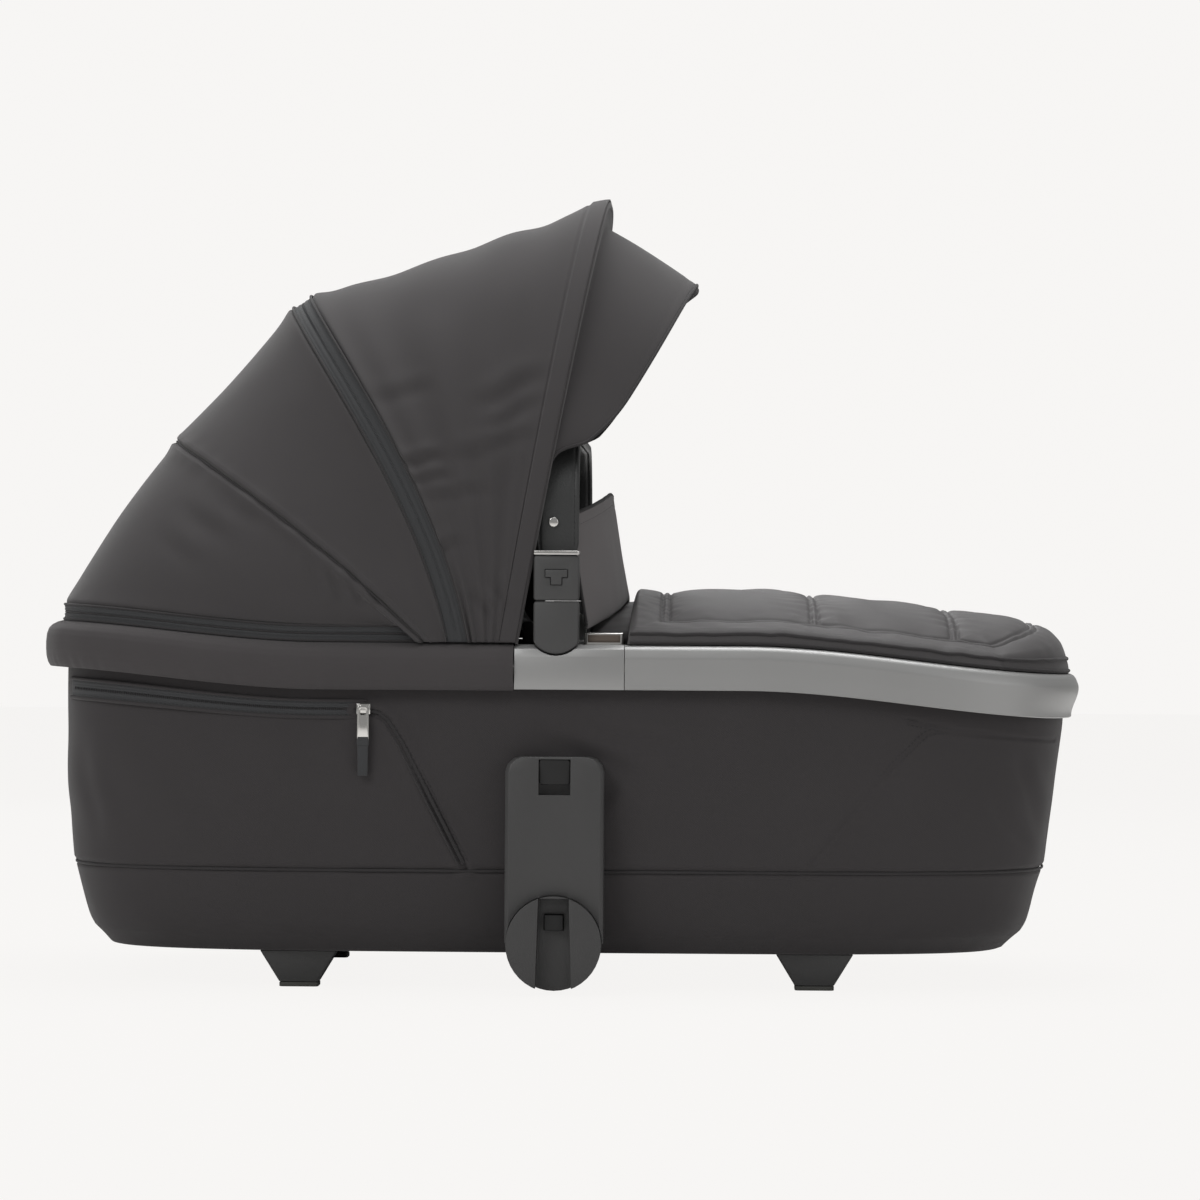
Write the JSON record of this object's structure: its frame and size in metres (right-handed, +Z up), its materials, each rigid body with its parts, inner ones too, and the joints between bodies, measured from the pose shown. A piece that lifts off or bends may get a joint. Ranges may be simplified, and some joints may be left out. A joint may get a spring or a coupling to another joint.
{
  "type": "carrycot",
  "caption": "Carrycot with a fabric tub on a moulded base, silver rim, folding hood with visor, quilted apron with wind flap, folding carry handle and pushchair adapters.",
  "frame": {"origin": "centre of the bounding box, on the plane under the feet", "axes": "+X to the foot end, +Y to the child's left, +Z up"},
  "size_m": [0.849, 0.472, 0.6454],
  "materials": {
    "body_fabric": "woven melange",
    "hood_fabric": "woven melange",
    "piping": "tape",
    "board_plastic": "sheet",
    "tray_plastic": "grained",
    "rubber": "matt",
    "silver_plastic": "satin silver",
    "aluminium": "drawn",
    "chrome": "polished",
    "dark_plastic": "fine grain",
    "leatherette": "grained",
    "lining": "jersey",
    "mattress_cover": "jersey",
    "spring_steel": "plain"
  },
  "bodies": {
    "tub": {"tub_cover": "body_fabric", "rim_pad_head": "body_fabric", "apron": "body_fabric", "rim_zip_tape": "piping", "pocket_zip_tape": "piping", "wall_board": "board_plastic", "base_tray": "tray_plastic", "rim_tube": "aluminium", "rim_band_foot": "silver_plastic", "liner": "lining", "mattress": "mattress_cover", "side_strap_right": "spring_steel", "handle_mount_right": "silver_plastic", "adapter_plate_right": "dark_plastic", "adapter_socket_right": "dark_plastic", "hood_hinge_right": "dark_plastic", "foot_head_right": "dark_plastic", "foot_pad_head_right": "rubber", "foot_toe_right": "dark_plastic", "foot_pad_toe_right": "rubber", "side_strap_left": "spring_steel", "handle_mount_left": "silver_plastic", "adapter_plate_left": "dark_plastic", "adapter_socket_left": "dark_plastic", "hood_hinge_left": "dark_plastic", "foot_head_left": "dark_plastic", "foot_pad_head_left": "rubber", "foot_toe_left": "dark_plastic", "foot_pad_toe_left": "rubber"},
    "handle": {"handle_arch": "leatherette", "handle_base_right": "dark_plastic", "handle_base_left": "dark_plastic", "handle_housing_right": "dark_plastic", "handle_housing_left": "dark_plastic", "handle_band_right": "chrome", "handle_band_left": "chrome", "handle_rivet_right": "chrome", "handle_rivet_left": "chrome", "handle_pin_right": "spring_steel", "handle_pin_left": "spring_steel"},
    "hood_rear": {"rear_bow": "aluminium", "hood_rear_panel": "hood_fabric"},
    "hood_middle": {"zip_bow": "aluminium", "hood_middle_panel": "hood_fabric", "hood_zip_tape": "hood_fabric"},
    "hood_front": {"front_bow": "aluminium", "hood_front_panel": "hood_fabric", "visor": "hood_fabric"},
    "zip_slider": {"pocket_zip_slider": "chrome"},
    "zip_pull": {"pocket_zip_pull": "chrome"},
    "flap": {"wind_flap": "body_fabric"},
    "handle_button_right": {"handle_release_right": "dark_plastic"},
    "rim_button_right": {"rim_catch_right": "chrome"},
    "adapter_button_right": {"adapter_release_right": "dark_plastic"},
    "adapter_bolt_right": {"adapter_latch_right": "spring_steel"},
    "handle_button_left": {"handle_release_left": "dark_plastic"},
    "rim_button_left": {"rim_catch_left": "chrome"},
    "adapter_button_left": {"adapter_release_left": "dark_plastic"},
    "adapter_bolt_left": {"adapter_latch_left": "spring_steel"}
  },
  "joints": [
    {"name": "hood_fold", "type": "hinge", "parent": "tub", "child": "hood_rear", "pos_m": [-0.0385, 0, 0.288], "axis": [0, -1, 0], "range_deg": [0, 19.5], "deforming": ["hood_rear_panel"]},
    {"name": "hood_middle_fold", "type": "hinge", "parent": "hood_rear", "child": "hood_middle", "pos_m": [-0.0385, 0, 0.288], "axis": [0, -1, 0], "range_deg": [0, 22.4], "deforming": ["hood_middle_panel", "hood_zip_tape"]},
    {"name": "hood_front_fold", "type": "hinge", "parent": "hood_middle", "child": "hood_front", "pos_m": [-0.0385, 0, 0.288], "axis": [0, -1, 0], "range_deg": [0, 38.55], "deforming": ["hood_front_panel"]},
    {"name": "handle_fold", "type": "hinge", "parent": "tub", "child": "handle", "pos_m": [0, 0, 0.29], "axis": [0, 1, 0], "range_deg": [0, 62]},
    {"name": "zip_slide", "type": "slide", "parent": "tub", "child": "zip_slider", "axis": [-0.9995, 0.0318, 0], "range_m": [0, 0.05]},
    {"name": "zip_pull_swing", "type": "hinge", "parent": "zip_slider", "child": "zip_pull", "pos_m": [-0.15259, -0.21108, 0.22662], "axis": [-1, 0, 0], "range_deg": [0, 80]},
    {"name": "flap_fold", "type": "hinge", "parent": "tub", "child": "flap", "pos_m": [0.05445, 0, 0.3119], "axis": [0, 1, 0], "range_deg": [0, 70], "deforming": ["wind_flap"]},
    {"name": "handle_release_right_press", "type": "slide", "parent": "handle", "child": "handle_button_right", "axis": [0, 1, 0], "range_m": [0, 0.003], "stiffness_N_per_m": 400},
    {"name": "rim_catch_right_press", "type": "slide", "parent": "tub", "child": "rim_button_right", "axis": [0, 0, -1], "range_m": [0, 0.004], "stiffness_N_per_m": 500},
    {"name": "adapter_release_right_press", "type": "slide", "parent": "tub", "child": "adapter_button_right", "axis": [0, 0, -1], "range_m": [0, 0.008], "stiffness_N_per_m": 300},
    {"name": "adapter_latch_right_draw", "type": "slide", "parent": "tub", "child": "adapter_bolt_right", "axis": [0, 1, 0], "range_m": [0, 0.004]},
    {"name": "handle_release_left_press", "type": "slide", "parent": "handle", "child": "handle_button_left", "axis": [0, -1, 0], "range_m": [0, 0.003], "stiffness_N_per_m": 400},
    {"name": "rim_catch_left_press", "type": "slide", "parent": "tub", "child": "rim_button_left", "axis": [0, 0, -1], "range_m": [0, 0.004], "stiffness_N_per_m": 500},
    {"name": "adapter_release_left_press", "type": "slide", "parent": "tub", "child": "adapter_button_left", "axis": [0, 0, -1], "range_m": [0, 0.008], "stiffness_N_per_m": 300},
    {"name": "adapter_latch_left_draw", "type": "slide", "parent": "tub", "child": "adapter_bolt_left", "axis": [0, -1, 0], "range_m": [0, 0.004]}
  ],
  "couplings": [
    {"joint": "hood_middle_fold", "follows": "hood_fold", "ratio": 1.1487},
    {"joint": "hood_front_fold", "follows": "hood_fold", "ratio": 1.976},
    {"joint": "adapter_latch_right_draw", "follows": "adapter_release_right_press", "ratio": 0.5},
    {"joint": "adapter_latch_left_draw", "follows": "adapter_release_left_press", "ratio": 0.5}
  ]
}
